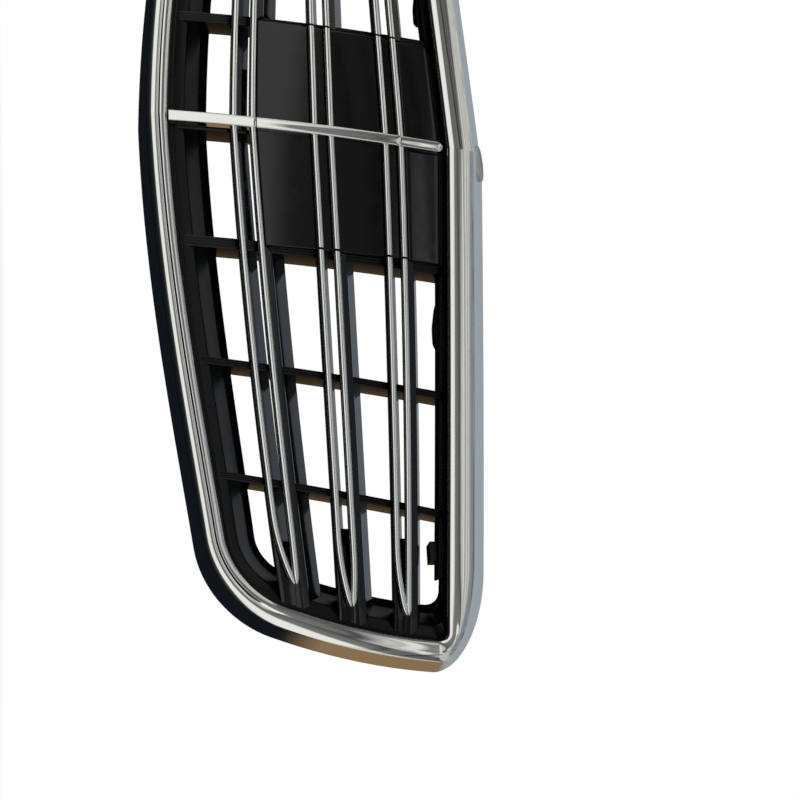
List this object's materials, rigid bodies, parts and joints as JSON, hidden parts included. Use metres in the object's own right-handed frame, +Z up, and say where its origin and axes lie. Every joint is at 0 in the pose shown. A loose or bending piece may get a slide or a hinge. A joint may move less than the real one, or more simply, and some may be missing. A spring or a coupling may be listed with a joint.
{
  "type": "front grille",
  "caption": "Leaning, V-fronted car front grille: a bright surround round a black bezel, ribs and twin trimmed louvres, with a gloss sensor cover in the middle.",
  "frame": {"origin": "centre of the overall box", "axes": "+X across the car to the grille's left-hand end as seen from behind it, which is the viewer's right in front of it; -Y forwards, so the chrome face looks along -Y; +Z up as fitted to the car"},
  "size_m": [0.8062, 0.1502, 0.2804],
  "materials": {
    "chrome": "bright mirror chrome plating on moulded plastic",
    "gloss_black": "high-gloss piano black",
    "satin_black": "satin moulded black plastic",
    "rear_plastic": "plain moulded dark plastic, unpolished",
    "steel": "zinc-plated self-tapping screw"
  },
  "bodies": {
    "root": {"chrome_surround": "chrome", "badge_disc": "chrome", "inner_bezel": "satin_black", "mount_flange": "rear_plastic", "louvre_lower_right": "gloss_black", "trim_lower_right": "chrome", "louvre_middle_right": "gloss_black", "trim_middle_right": "chrome", "louvre_upper_right": "gloss_black", "trim_upper_right": "chrome", "rib_1_right": "satin_black", "rib_2_right": "satin_black", "rib_3_right": "satin_black", "louvre_lower_left": "gloss_black", "trim_lower_left": "chrome", "louvre_middle_left": "gloss_black", "trim_middle_left": "chrome", "louvre_upper_left": "gloss_black", "trim_upper_left": "chrome", "rib_1_left": "satin_black", "rib_2_left": "satin_black", "rib_3_left": "satin_black", "rib_centre": "satin_black", "cover_trim_middle_a": "chrome", "cover_trim_middle_b": "chrome", "cover_trim_upper_a": "chrome", "cover_trim_upper_b": "chrome", "sensor_cover": "gloss_black", "cover_top_plate": "gloss_black", "sensor_bracket": "rear_plastic", "centre_trim_lower": "chrome", "centre_trim_cover": "chrome", "centre_trim_upper": "chrome", "screw_1": "steel", "screw_2": "steel", "screw_3": "steel", "screw_4": "steel", "screw_5": "steel", "screw_6": "steel", "screw_7": "steel", "screw_8": "steel"}
  },
  "joints": []
}
